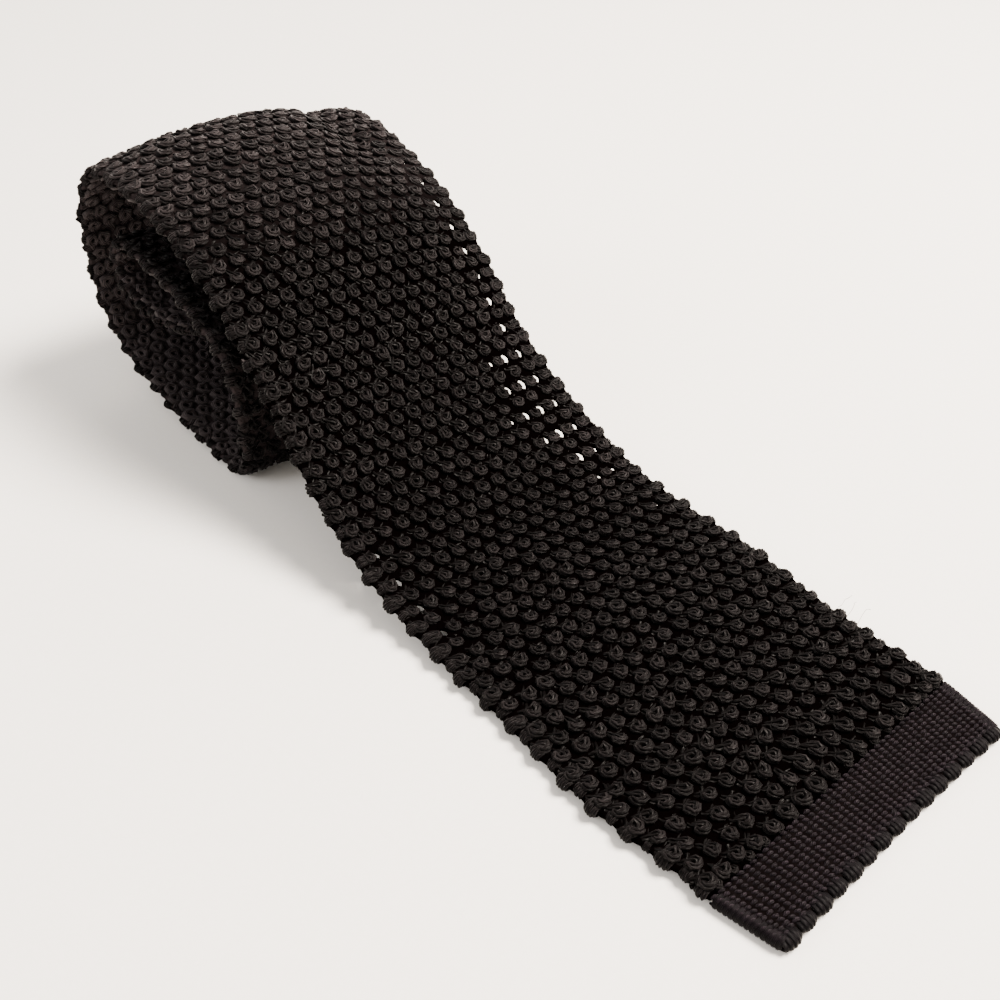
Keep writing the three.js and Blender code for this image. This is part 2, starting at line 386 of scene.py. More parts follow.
def tube(path, radii, sides):
    """Points, faces and yarn coordinates in millimetres of a tube. Its open ends lie deep in the knit."""
    path = np.asarray(path, float)
    count = len(path)
    radii = np.broadcast_to(radii, count)
    tangents = np.gradient(path, axis=0)
    tangents /= np.linalg.norm(tangents, axis=1)[:, None] + 1e-9
    side = np.cross(tangents[0], [0.31, 0.17, 0.93])
    points, coordinates = [], []
    walked = 0.0
    for index in range(count):
        side = side - tangents[index] * side.dot(tangents[index])
        side /= np.linalg.norm(side) + 1e-9
        other = np.cross(tangents[index], side)
        if index:
            walked += np.linalg.norm(path[index] - path[index - 1])
        for corner in range(sides):
            turn = 2 * math.pi * corner / sides
            points.append(path[index] + radii[index] * (math.cos(turn) * side + math.sin(turn) * other))
            coordinates.append((walked, radii[index] * turn))
    faces = []
    for index in range(count - 1):
        for corner in range(sides):
            follow = (corner + 1) % sides
            faces.append((index * sides + corner, index * sides + follow,
                          (index + 1) * sides + follow, (index + 1) * sides + corner))
    return np.array(points), faces, np.array(coordinates)


# One bobble is a loop of yarn drawn up into a small knob, with its head toward the hem and a dimple in the
# middle. Its two legs cross under the head's rear end and go down between the bobbles of the next row.
# Columns: along, across and out, in millimetres from the bobble's middle on the cloth's middle layer.
LOOP = np.array((
    (1.50, -1.00, 0.06),
    (1.00, -0.46, 0.22),
    (0.52, 0.24, 0.46),
    (0.20, 0.72, 0.72),
    (-0.42, 0.62, 0.82),
    (-0.76, 0.00, 0.84),
    (-0.42, -0.62, 0.82),
    (0.20, -0.72, 0.70),
    (0.52, -0.24, 0.32),
    (1.00, 0.46, 0.17),
    (1.50, 1.00, 0.06),
))


def bobble_shape(rng, plies, steps, sides, ply_radius):
    """One loop of several twisted plies with its own small differences."""
    loop = LOOP + rng.normal(0, 0.085, LOOP.shape)
    path = smooth_path(loop, steps)
    if plies == 1:
        # The plain loops of the inner face stay clear of the outer one
        path[:, 2] = np.maximum(path[:, 2], 0.3)
    tangents = np.gradient(path, axis=0)
    tangents /= np.linalg.norm(tangents, axis=1)[:, None]
    side = np.cross(tangents, (0.0, 0.0, 1.0))
    side /= np.linalg.norm(side, axis=1)[:, None] + 1e-9
    over = np.cross(side, tangents)
    shapes = []
    phase = rng.uniform(0, 2 * math.pi)
    twist = rng.uniform(1.6, 2.6) * math.pi
    spread = ply_radius * {1: 0, 2: 0.9, 4: 1.42}[plies]
    for ply in range(plies):
        turn = phase + 2 * math.pi * ply / plies + twist * np.linspace(0, 1, steps)
        swell = spread * (1 + rng.normal(0, 0.13, steps))
        offset = swell[:, None] * (np.cos(turn)[:, None] * side + np.sin(turn)[:, None] * over * 0.85)
        shapes.append(tube(path + offset, ply_radius * rng.uniform(0.85, 1.1), sides))
    points, faces, coordinates = join_shapes(shapes)
    # Each ply has its own tone, times the painted light on the tops and the painted shade deep in the knit
    lightness = np.repeat(rng.uniform(0.1, 0.72, plies), steps * sides) * painted_top_light(points)
    return points, faces, coordinates, lightness


def painted_top_light(points):
    """Painted light and shade: the tops of the loops are painted lighter, and the yarn deep in the knit stays
    black in painted shade.
    """
    return 0.08 + 0.92 * smooth_step((points[:, 2] - 0.45) / 0.8) ** 2.0


# The way of the yarn round the side edge, across and out from the scallop's middle, and the places of the
# five strands of one scallop along the edge, in millimetres
WRAP = ((-1.6, 0.5), (-0.35, 0.92), (0.55, 0.7), (0.92, 0.0), (0.55, -0.7), (-0.35, -0.92), (-1.6, -0.5))
WRAP_STRANDS = (-1.15, -0.6, -0.02, 0.58, 1.15)


def edge_wrap(rng, ply_radius, unevenness):
    """Yarn that goes round the cloth's side edge and makes one round scallop of it."""
    steps, sides = 9, 4
    shapes = []
    for strand in WRAP_STRANDS:
        swell = 1.2 * math.sqrt(1 - (strand / 1.5) ** 2)
        path = [(strand * 0.92 + rng.normal(0, unevenness), swell * across - 0.1,
                 swell * out + rng.normal(0, unevenness / 2))
                for across, out in WRAP]
        shapes.append(tube(smooth_path(path, steps), ply_radius * 1.3, sides))
    points, faces, coordinates = join_shapes(shapes)
    # Each strand has its own tone, times the painted light on the tops and the painted shade deep in the knit
    lightness = np.repeat(rng.uniform(0.1, 0.5, len(shapes)), steps * sides) * painted_top_light(points + (0, 0, 0.1))
    return points, faces, coordinates, lightness


def join_shapes(shapes):
    """One set of points, faces and yarn coordinates out of several."""
    points, faces, coordinates = [], [], []
    count = 0
    for part_points, part_faces, part_coordinates in shapes:
        points.append(part_points)
        faces.extend(tuple(corner + count for corner in face) for face in part_faces)
        coordinates.append(part_coordinates)
        count += len(part_points)
    return np.vstack(points), faces, np.vstack(coordinates)


def yarn_object(name, cloth, shapes, spots, material):
    """Sets one of the shapes at every spot of flat cloth and lays them all along the way.

    A spot is (shape, along, across, out, axes, tone), where axes has the shape's three axes as rows.
    """
    points, faces, coordinates, tones = [], [], [], []
    count = 0
    arrays = [np.array(shape[1]) for shape in shapes]
    for number, (kind, along, across, out, axes, tone) in enumerate(spots):
        shape_points, _, shape_coordinates, lightness = shapes[kind]
        points.append(shape_points @ axes + (along, across, out))
        faces.append(arrays[kind] + count)
        # Each stitch shows another part of the yarn's pattern
        coordinates.append(shape_coordinates + (number * 7.3, number * 3.1))
        # A high tone, from the painted light inside the roll and the painted sheen on its top, makes the yarn
        # lighter and more even
        painted_sheen = min(max(2 * tone - 0.6, 0.0), 1.8)
        tones.append(tone * lightness ** (1 / (1 + painted_sheen)))
        count += len(shape_points)
    laid = cloth.lay(np.vstack(points))
    piece = mesh_object(name, laid, np.vstack(faces), material)
    add_coordinates(piece, np.vstack(coordinates))
    add_tone(piece, np.concatenate(tones))
    return piece


def mesh_object(name, points, faces, material):
    """A smooth-shaded piece that rides on the tie's one body."""
    mesh = bpy.data.meshes.new(name)
    mesh.from_pydata(np.asarray(points).tolist(), [], [list(face) for face in faces])
    mesh.update()
    mesh.polygons.foreach_set("use_smooth", [True] * len(mesh.polygons))
    mesh.materials.append(material)
    piece = bpy.data.objects.new(name, mesh)
    bpy.context.scene.collection.objects.link(piece)
    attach(piece, "root")
    return piece


def add_coordinates(piece, coordinates):
    """Yarn coordinates, in millimetres along and round the yarn, as the piece's UV map."""
    layer = piece.data.uv_layers.new(name="Yarn")
    corners = np.empty(len(piece.data.loops), dtype=np.int64)
    piece.data.loops.foreach_get("vertex_index", corners)
    layer.data.foreach_set("uv", coordinates[corners].astype(np.float32).ravel())


def add_tone(piece, tones):
    """How light each stitch's yarn is, from 0 to 1, with its painted light and shade included."""
    attribute = piece.data.attributes.new("tone", "FLOAT", "POINT")
    attribute.data.foreach_set("value", np.asarray(tones, dtype=np.float32))


def spot_axes(turn, scale, face=1, height=1.0):
    """Axes of a stitch turned on the cloth, on its outer face or its inner one (-1)."""
    cos, sin = math.cos(turn) * scale, math.sin(turn) * scale
    return np.array([(cos, sin, 0), (-sin * face, cos * face, 0), (0, 0, scale * face * height)])


def stray_fibre(rng):
    """One fine fibre that stands loose from the far side."""
    reach = np.linspace(0, 1, 5)
    path = np.stack([1.6 * reach * rng.uniform(-1, 1), 3.2 * reach, 1.2 * np.sin(2.5 * reach)], axis=1)
    points, faces, coordinates = tube(smooth_path(path + rng.normal(0, 0.15, path.shape), 9), 0.035, 3)
    return points, faces, coordinates, np.full(len(points), 0.5)


# Materials

def add_node(material, kind, settings=None, values=None, links=None):
    """Adds a node with its settings, socket values and links from other nodes' outputs."""
    node = material.node_tree.nodes.new(kind)
    for key, value in (settings or {}).items():
        setattr(node, key, value)
    for key, value in (values or {}).items():
        node.inputs[key].default_value = value
    for key, (source, output) in (links or {}).items():
        material.node_tree.links.new(source.outputs[output], node.inputs[key])
    return node


def empty_material(name):
    """A material without nodes."""
    material = bpy.data.materials.new(name)
    material.use_nodes = True
    material.node_tree.nodes.clear()
    return material


# Filaments of the yarn are far finer than the render shows, so they are drawn 0.3 mm apart
FILAMENT_PITCH = 0.3


def silky_wool_yarn(name, deep, painted_top_light, roughness):
    """Black wool and silk yarn, spun in soft plies: it takes in nearly all light, so it looks near-black and
    soft, with only a faint sheen and fine lighter lines along the filaments. Its colour carries painted light
    on the tops of the loops and painted shade deep in the knit and between the filaments."""
    material = empty_material(name)
    coordinates = add_node(material, "ShaderNodeUVMap", {"uv_map": "Yarn"})
    # The filaments lie a little askew along the ply
    mapping = add_node(material, "ShaderNodeMapping", values={"Rotation": (0, 0, math.radians(14))},
                       links={"Vector": (coordinates, "UV")})
    filaments = add_node(material, "ShaderNodeTexWave",
                         {"wave_type": "BANDS", "bands_direction": "Y", "wave_profile": "SIN"},
                         {"Scale": 2 * math.pi / FILAMENT_PITCH / 20, "Distortion": 1.2, "Detail": 1.0,
                          "Detail Scale": 1.5},
                         {"Vector": (mapping, "Vector")})
    fluff = add_node(material, "ShaderNodeTexNoise", values={"Scale": 3.0, "Detail": 3.0, "Roughness": 0.6},
                     links={"Vector": (coordinates, "UV")})
    tone = add_node(material, "ShaderNodeAttribute", {"attribute_name": "tone"})
    mixed = add_node(material, "ShaderNodeMath", {"operation": "MULTIPLY"},
                     links={0: (fluff, "Fac"), 1: (tone, "Fac")})
    mixed = add_node(material, "ShaderNodeMath", {"operation": "MULTIPLY"}, {1: 2.6}, {0: (mixed, "Value")})
    # Painted shade in the furrows between the filaments
    ridges = add_node(material, "ShaderNodeMath", {"operation": "POWER"}, {1: 1.8}, {0: (filaments, "Fac")})
    lit_share = add_node(material, "ShaderNodeMath", {"operation": "MULTIPLY", "use_clamp": True},
                       links={0: (mixed, "Value"), 1: (ridges, "Value")})
    # From the black yarn in painted shade to the same yarn in painted light
    colour = add_node(material, "ShaderNodeMix", {"data_type": "RGBA"},
                      {6: deep, 7: painted_top_light}, {0: (lit_share, "Value")})
    bump = add_node(material, "ShaderNodeBump", values={"Strength": 0.55, "Distance": 0.00006},
                    links={"Height": (filaments, "Fac")})
    shader = add_node(material, "ShaderNodeBsdfPrincipled",
                      values={"Roughness": roughness, "IOR": 1.54, "Specular IOR Level": 0.05,
                              "Sheen Weight": 0.05, "Sheen Roughness": 0.35,
                              "Sheen Tint": linear("#B9AFB2")},
                      links={"Base Color": (colour, 2), "Normal": (bump, "Normal")})
    add_node(material, "ShaderNodeOutputMaterial", links={"Surface": (shader, "BSDF")})
    return material


def shadowed_ground(name, deep, lit):
    """The ground of the knit between the bobbles: the same black yarn, knitted flat and out of the light, so
    it looks black and dull, with fine pitted stitches."""
    material = empty_material(name)
    place = add_node(material, "ShaderNodeTexCoord")
    # Ground stitches about 0.8 mm apart
    stitches = add_node(material, "ShaderNodeTexVoronoi", {"feature": "F1"}, {"Scale": 1250.0},
                        {"Vector": (place, "Object")})
    # The ground catches more light on the roll than on the flat stretch, where the bobbles close over it
    tone = add_node(material, "ShaderNodeAttribute", {"attribute_name": "tone"})
    fluff = add_node(material, "ShaderNodeTexNoise", values={"Scale": 700.0, "Detail": 3.0, "Roughness": 0.7},
                     links={"Vector": (place, "Object")})
    mixed = add_node(material, "ShaderNodeMath", {"operation": "MULTIPLY"},
                     links={0: (fluff, "Fac"), 1: (tone, "Fac")})
    colour = add_node(material, "ShaderNodeMix", {"data_type": "RGBA"},
                      {6: deep, 7: lit}, {0: (mixed, "Value")})
    bump = add_node(material, "ShaderNodeBump", {"invert": True}, {"Strength": 0.8, "Distance": 0.0003},
                    {"Height": (stitches, "Distance")})
    shader = add_node(material, "ShaderNodeBsdfPrincipled",
                      values={"Roughness": 0.9, "IOR": 1.54, "Specular IOR Level": 0.0},
                      links={"Base Color": (colour, 2), "Normal": (bump, "Normal")})
    add_node(material, "ShaderNodeOutputMaterial", links={"Surface": (shader, "BSDF")})
    return material


def matt_painted_board(name, colour):
    """A board rolled with matt paint: pale warm white, with a very fine grain and hardly any reflection."""
    material = empty_material(name)
    place = add_node(material, "ShaderNodeTexCoord")
    # Grain of about 1 mm, as a short paint roller leaves
    grain = add_node(material, "ShaderNodeTexNoise", values={"Scale": 900.0, "Detail": 2.0},
                     links={"Vector": (place, "Object")})
    paint = add_node(material, "ShaderNodeMix", {"data_type": "RGBA"},
                     {6: linear("#F4F0EA"), 7: colour}, {0: (grain, "Fac")})
    shader = add_node(material, "ShaderNodeBsdfPrincipled",
                      values={"Roughness": 0.85, "IOR": 1.5, "Specular IOR Level": 0.2},
                      links={"Base Color": (paint, 2)})
    add_node(material, "ShaderNodeOutputMaterial", links={"Surface": (shader, "BSDF")})
    return material


# Blade

# Rows counted from the hem at which the next stretch of the outer face begins
TAIL_ROWS, CLIMB_ROWS, CREST_ROWS = 21, 42, 64
# The inner face shows in the roll's hollow from this row on
INSIDE_ROWS = 24
# Millimetres from the blade's side to the middle of the last bobble of a wide row, and to the nearest that
# any bobble stands, because the edge wraps take the outermost place
EDGE_INSET, BOBBLE_INSET = 1.35, 2.4
# Spread in millimetres of the stitches about their even places
STRAY = 0.12
# Half the thickness of the ground, in millimetres
GROUND_DEPTH = 0.4


def row_columns(row, bobbles):
    """Places across the blade of one row's bobbles, as counts of pitches from the middle."""
    count = bobbles if row % 2 == 0 else bobbles - 1
    return np.arange(count) - (count - 1) / 2


# Where the knit is stretched open: how far, then the place across as millimetres from a side and its spread,
# and the place along as a row and its spread
FAR_OPENINGS = (
    (0.76, 4.9, 1.6, 37, 15.5),
    (0.5, 4.9, 1.6, 17, 7),
    (0.9, 8.5, 1.6, 29, 6.5),
    (0.72, 12.1, 1.6, 29.5, 4),
    (0.46, 16, 1.8, 29, 2.5),
)
NEAR_OPENING = (0.66, 4.9, 1.6, 21, 5)


def opening(row, inset, strength, middle, spread, middle_row, row_spread):
    """How far one of these places is open at a point."""
    return (strength * math.exp(-((inset - middle) / spread) ** 2)
            * math.exp(-((row - middle_row) / row_spread) ** 6))


def openness(row, across, half):
    """How far the knit is stretched open, from 0 to 1: near the far side of the climb, and a little at the
    near side."""
    far = [opening(row, half - across, *place) for place in FAR_OPENINGS]
    return max(*far, opening(row, half + across, *NEAR_OPENING))


def pore_size(row, across, half):
    """Half-width in millimetres of the pore between two bobbles, 0 where the knit is closed. Only every
    second row opens."""
    stretch = openness(row, across, half)
    return 1.12 * stretch if row % 2 and stretch > 0.42 else 0.0


# Corners of a cell of the ground, and the eight points round it, as columns of halves
CELL = ((0, 0), (1, 0), (1, 1), (0, 1))
CELL_RING = ((0, 0), (1, 0), (2, 0), (2, 1), (2, 2), (1, 2), (0, 2), (0, 1))


def ground_mesh(cloth, rows, bobbles, pitch_across, row_pitch, side_pull):
    """The flat ground in one closed sheet, with a hole for each pore, as points and faces. The sides pull in
    between the wide rows by side_pull."""
    half_columns = 2 * bobbles - 1
    points, faces = [], []
    lookup = {}

    def corner(quarter_row, quarter_column, face):
        edge = quarter_column in (0, 2 * half_columns)
        key = (quarter_row, quarter_column, 0 if edge else face)
        if key not in lookup:
            across = (quarter_column / 4 - half_columns / 4) * pitch_across
            if edge:
                pull = side_pull * (1 + math.cos(math.pi * (quarter_row / 2 + 0.5))) / 2
                across -= math.copysign(pull, across)
            lookup[key] = len(points)
            points.append((quarter_row / 2 * row_pitch, across, 0.0 if edge else face * GROUND_DEPTH))
        return lookup[key]

    for row in range(rows):
        for half_column in range(half_columns):
            is_gap = (row + half_column) % 2 == 1
            across = (half_column / 2 + 0.25 - half_columns / 4) * pitch_across
            hole = pore_size(row, across, cloth.half_width) if is_gap else 0
            if not hole:
                for face in (1, -1):
                    for a, b in CELL:
                        square = [corner(2 * row + a + i, 2 * half_column + b + j, face) for i, j in CELL]
                        faces.append(square if face == -1 else square[::-1])
                continue
            walls = []
            for face in (1, -1):
                inner = []
                for i, j in CELL_RING:
                    # The pore is a little longer than wide, with rounded corners
                    rounding = 0.62 if i != 1 and j != 1 else 1.0
                    inner.append(len(points))
                    points.append(((row + 0.5) * row_pitch + (i - 1) * hole * 1.2 * rounding,
                                   across + (j - 1) * hole * 0.86 * rounding, face * GROUND_DEPTH * 0.6))
                outer = [corner(2 * row + i, 2 * half_column + j, face) for i, j in CELL_RING]
                for step in range(8):
                    follow = (step + 1) % 8
                    square = [outer[step], outer[follow], inner[follow], inner[step]]
                    faces.append(square if face == -1 else square[::-1])
                walls.append(inner)
            for step in range(8):
                follow = (step + 1) % 8
                faces.append([walls[0][step], walls[0][follow], walls[1][follow], walls[1][step]])
    # The two ends are closed by a strip between the faces
    for quarter_row, flip in ((0, False), (2 * rows, True)):
        for quarter_column in range(2 * half_columns):
            square = [corner(quarter_row, quarter_column, 1), corner(quarter_row, quarter_column + 1, 1),
                      corner(quarter_row, quarter_column + 1, -1), corner(quarter_row, quarter_column, -1)]
            square = list(dict.fromkeys(square))
            faces.append(square[::-1] if flip else square)
    return np.array(points), faces


class TIE_OT_build_blade(bpy.types.Operator):
    """Builds the blade: its ground, the bobbles of both faces and the scallops of its sides."""

    bl_idname = "tie.build_blade"
    bl_label = "Build blade"

    def execute(self, context):
        scene = context.scene
        settings = scene.tie_cloth
        cloth = blade_cloth(scene)
        rng = np.random.default_rng(settings.seed)
        row_pitch = settings.row_pitch / MM
        rows = int(cloth.length / row_pitch)
        row_pitch = cloth.length / rows
        half = cloth.half_width
        pitch_across = 2 * (half - EDGE_INSET) / (settings.bobbles - 1) * 0.995
        ply = settings.ply_radius / MM

        yarn = silky_wool_yarn("Black wool and silk yarn, knitted", settings.shaded_yarn, settings.lit_yarn,
                               0.42)
        ground_material = shadowed_ground("Black wool and silk yarn, flat ground", settings.shaded_yarn,
                                          settings.lit_ground)

        points, faces = ground_mesh(cloth, rows, settings.bobbles, pitch_across, row_pitch, 0.6)
        ground = mesh_object("blade_ground", cloth.lay(points), faces, ground_material)
        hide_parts("blade")
        row_of = points[:, 0] / row_pitch
        # Painted light on the ground: lighter over the roll than on the flat stretch, where it stays in
        # painted shade under the bobbles
        outer_tone = smooth_step((row_of - 42) / 18) * 0.5
        inner_tone = smooth_step((row_of - 40) / 10) * 0.6
        add_tone(ground, np.where(points[:, 2] < 0, inner_tone, outer_tone))

        # The stitches are the finer, the nearer they are to the eye
        fine = [bobble_shape(rng, 4, 14, 4, ply) for _ in range(9)]
        fair = [bobble_shape(rng, 2, 10, 4, 1.45 * ply) for _ in range(8)]
        plain = [bobble_shape(rng, 1, 9, 5, 2.2 * ply) for _ in range(6)]
        hidden = [bobble_shape(rng, 1, 7, 4, 2.2 * ply) for _ in range(3)]
        wraps = [edge_wrap(rng, ply, 0.14) for _ in range(6)]
        fibres = [stray_fibre(rng) for _ in range(3)]
        sets = {"tail": fine, "climb": fine, "crest": fine, "back": fair, "inside": plain, "under": hidden,
                "far_side": wraps + fibres, "near_side": wraps}
        parts = {key: [] for key in sets}
        for row in range(rows):
            along = (row + 0.5) * row_pitch
            # On the top of the roll the yarn is painted a little lighter, as painted sheen, and its stitches
            # are drawn a little fuller
            top = float(smooth_step((row - 38) / 20) * smooth_step((92 - row) / 14))
            painted_sheen = 0.31 + 0.68 * top
            part = ("tail" if row < TAIL_ROWS else "climb" if row < CLIMB_ROWS
                    else "crest" if row < CREST_ROWS else "back")
            under = "under" if row < INSIDE_ROWS else "inside"
            for column in row_columns(row, settings.bobbles):
                across = column * pitch_across
                across = math.copysign(min(abs(across), half - BOBBLE_INSET), across)
                # The pores lie half a pitch to either side of a stitch of their own row
                stretch = max(openness(row, across - pitch_across / 2, half),
                              openness(row, across + pitch_across / 2, half),
                              0.8 * openness(row, across, half))
                stretch = stretch if stretch > 0.3 else 0
                for face, key in ((1, part), (-1, under)):
                    # Painted light: the inner face in the roll's hollow is painted light, and on the climb
                    # the outer stitches are painted lighter toward the far side
                    light = 2.0 if key == "inside" else painted_sheen
                    if part == "climb" and face == 1:
                        light = painted_sheen + 0.24 * float(smooth_step((across - 10) / 16))
                    kind = rng.integers(len(sets[key]))
                    scale = rng.uniform(1.1, 1.26) * (1 - 0.08 * stretch) * (1 + 0.2 * top)
                    axes = spot_axes(rng.normal(0, 0.22), scale, face, 0.95 - 0.42 * stretch - 0.14 * top)
                    # Where the knit is open, the inner face's stitches lie a little to the far side
                    shift = 0.8 * stretch if face == -1 else 0
                    parts[key].append((kind, along + rng.normal(0, STRAY),
                                       across + shift + rng.normal(0, STRAY),
                                       face * rng.normal(0, 0.04), axes, light * rng.uniform(0.6, 1.1)))
            # One wrap a row at each side, further in at the narrow rows
            inset, size = (1.15, 1.0) if row % 2 == 0 else (1.75, 0.9)
            for side, key in ((1, "far_side"), (-1, "near_side")):
                # The near side of the roll's back catches the light
                light = max(painted_sheen, 1.2) if row > 78 and side < 0 else painted_sheen
                axes = np.diag([side * 0.9, side, 0.8]) * size * rng.uniform(0.82, 1.0)
                parts[key].append((rng.integers(len(wraps)), along + rng.normal(0, STRAY),
                                   side * (half - inset + rng.normal(0, 0.1)), rng.normal(0, 0.08), axes,
                                   light * rng.uniform(0.5, 0.9)))
        # Small stitches fill the join with the hem band
        for column in row_columns(0, settings.bobbles):
            for face, key in ((1, "tail"), (-1, "under")):
                parts[key].append((rng.integers(len(sets[key])), 0.7, column * pitch_across * 0.94, 0.0,
                                   spot_axes(rng.normal(0, 0.3), 0.72, face), 0.2))
        # The few stray fibres stand on the far side of the flat stretch
        for number, along in enumerate((16.5, 18.5, 21.0)):
            parts["far_side"].append((len(wraps) + number, along, half - 0.8, 0.6, np.eye(3), 1.2))
        pieces = [yarn_object(f"blade_bobbles_{key}", cloth, sets[key], spots, yarn)
                  for key, spots in parts.items()]
        return {"FINISHED"}


# Hem band

class TIE_OT_build_hem_band(bpy.types.Operator):
    """Builds the hem band: a fine knit with small scallops along its end."""

    bl_idname = "tie.build_hem_band"
    bl_label = "Build hem band"

    def execute(self, context):
        scene = context.scene
        hem = scene.tie_hem
        rng = np.random.default_rng(scene.tie_cloth.seed + 1)
        length = hem.length / MM - JOINT_GAP / 2
        join_half, end_half = hem.join_width / MM / 2, hem.end_width / MM / 2
        half_thick = hem.thickness / MM / 2
        pitch = 2 * end_half / hem.scallops

        def place(share, side, out):
            """Scene place from the share of the length, the share of the half-width and the height."""
            across = side * (join_half + (end_half - join_half) * share)
            slant = hem.slant / MM * (across / join_half / 2 + 0.5)
            bow = hem.bow / MM * (1 - side * side) * share
            scallop = (0.5 - 0.5 * math.cos(2 * math.pi * (side + 1) / 2 * hem.scallops)) ** 0.5
            end = 0.9 * (1 - scallop) * max(0.0, share - 0.75) * 4
            x = HEM_END_X - length * (1 - share) - slant - bow - end
            return x, across + hem.drift / MM + MIDDLE_Y, half_thick + out

        yarn = silky_wool_yarn("Fine black wool and silk yarn, knitted", hem.shaded_yarn, hem.lit_yarn, 0.5)
        ground = shadowed_ground("Fine black wool and silk yarn, flat ground", scene.tie_cloth.shaded_yarn,
                                 scene.tie_cloth.lit_ground)

        columns, steps = hem.scallops * 8, 16
        points, faces = [], []
        for face in (1, -1):
            for step in range(steps + 1):
                share = step / steps
                roundness = math.sqrt(max(0.0, 1 - max(0.0, (share - 0.8) / 0.2) ** 2))
                for column in range(columns + 1):
                    side = 2 * column / columns - 1
                    thick = (half_thick - 0.35) * (0.25 + 0.75 * roundness)
                    lobe = abs(math.sin(math.pi * (side + 1) / 2 * hem.scallops))
                    thick *= 1 - (1 - lobe) * 0.6 * max(0.0, share - 0.7) / 0.3
                    thick *= math.sqrt(max(0.0, 1 - max(0.0, (abs(side) - 0.97) / 0.03) ** 2)) * 0.85 + 0.15
                    points.append(place(share, side, face * thick))
        points = np.array(points) * MM
        width = columns + 1
        layer = width * (steps + 1)
        for step in range(steps):
            for column in range(columns):
                a = step * width + column
                square = [a, a + 1, a + width + 1, a + width]
                faces.append(square[::-1])
                faces.append([corner + layer for corner in square])
        rim = ([(0, c) for c in range(columns)] + [(s, columns) for s in range(steps)]
               + [(steps, c) for c in range(columns, 0, -1)] + [(s, 0) for s in range(steps, 0, -1)])
        ring = [s * width + c for s, c in rim]
        for index, start in enumerate(ring):
            follow = ring[(index + 1) % len(ring)]
            faces.append([start, follow, follow + layer, start + layer])
        base = mesh_object("hem_band_ground", points, faces, ground)
        add_tone(base, np.full(len(points), 0.05))
        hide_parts("hem_band")

        stitches = []
        for _ in range(6):
            path = smooth_path([(-0.5, -0.14, -0.2), (-0.2, -0.05, 0.03),
                                (0.2, 0.05, 0.03), (0.5, 0.14, -0.2)], 5)
            points, faces, coordinates = tube(path + rng.normal(0, 0.03, (5, 3)),
                                              np.array([0.16, 0.26, 0.3, 0.26, 0.16]), 6)
            stitches.append((points, faces, coordinates, np.full(len(points), rng.uniform(0.2, 0.6))))
        ends = [edge_wrap(rng, 0.26, 0.03) for _ in range(4)]
        spots = []
        for face in (1, -1):
            for course in range(hem.courses):
                share = course / (hem.courses - 0.1) * 0.93 - 0.01
                for wale in range(hem.wales):
                    side = 2 * (wale + 0.5) / hem.wales - 1
                    spot = place(share, side, face * (half_thick - 0.36))
                    turn = math.radians(58) + rng.normal(0, 0.12)
                    spots.append((rng.integers(len(stitches)), *spot, spot_axes(turn, 1.0, face),
                                  rng.uniform(0.6, 1.1)))
        first_end = len(stitches)
        # Round scallops along the end, and the turned stitches of the two sides
        for scallop in range(hem.scallops):
            spot = place(0.93, 2 * (scallop + 0.5) / hem.scallops - 1, 0)
            axes = np.array([(0, -1.18, 0), (0.88, 0, 0), (0, 0, 0.74)]) * rng.uniform(0.94, 1.04)
            spots.append((first_end + rng.integers(len(ends)), *spot, axes, rng.uniform(0.15, 0.35)))
        for course in range(hem.courses):
            for side in (1, -1):
                spot = place((course + 0.5) / hem.courses * 0.93, side * 0.98, 0)
                axes = np.diag([0.38 * side, 0.7 * side, 0.8])
                spots.append((first_end + rng.integers(len(ends)), *spot, axes, rng.uniform(0.4, 0.8)))
        stitches = yarn_object("hem_band_stitches", FlatFrame(), stitches + ends, spots, yarn)
        return {"FINISHED"}


# Neckband

class TIE_OT_build_neckband(bpy.types.Operator):
    """Builds the narrow part, which turns up and back inside the roll's hollow."""

    bl_idname = "tie.build_neckband"
    bl_label = "Build neckband"

    def execute(self, context):
        scene = context.scene
        neck = scene.tie_neck
        rng = np.random.default_rng(scene.tie_cloth.seed + 2)
        blade = blade_cloth(scene)
        roll = scene.tie_way.roll_size / MM
        x, z, heading = blade.end
        x += JOINT_GAP * math.cos(math.radians(heading))
        rows = [
            Row("start", 0, 0, 0, 1.2, 0, 0, 1),
            Row("neck_turn", 180, 0.052 * roll, 0, 1.1, 0, 0, 1),
            Row("neck_run", 0, 0, neck.run / MM, 1, 0, 0, 1),
        ]
        forms = {"crown": 0, "lift": 0, "drift": scene.tie_way.side_drift / MM, "slant": 0, "fade": 1,
                 "wander": 0, "dent": 0}
        cloth = Cloth(rows, (x, z, heading), neck.width / MM / 2, forms)
        deep = scene.tie_cloth.shaded_yarn
        yarn = silky_wool_yarn("Black wool and silk yarn, narrow knit", deep, neck.lit_yarn, 0.48)
        ground_material = shadowed_ground("Black wool and silk yarn, narrow ground", deep,
                                          scene.tie_cloth.lit_ground)
        row_pitch = 2.4
        count = int(cloth.length / row_pitch)
        row_pitch = cloth.length / count
        bobbles = 13
        pitch_across = 2 * (cloth.half_width - 0.8) / (bobbles - 1)
        points, faces = ground_mesh(cloth, count, bobbles, pitch_across, row_pitch, 0.3)
        ground = mesh_object("neckband_ground", cloth.lay(points), faces, ground_material)
        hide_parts("neckband")
        shapes = [bobble_shape(rng, 1, 9, 5, 0.16) for _ in range(4)]
        spots = []
        for row in range(count):
            for column in row_columns(row, bobbles):
                for face in (1, -1):
                    axes = spot_axes(rng.normal(0, 0.15), 0.7, face)
                    spots.append((rng.integers(len(shapes)), (row + 0.5) * row_pitch, column * pitch_across,
                                  0.0, axes, rng.uniform(0.6, 1.1)))
        bobble_piece = yarn_object("neckband_bobbles", cloth, shapes, spots, yarn)
        return {"FINISHED"}


# Stage

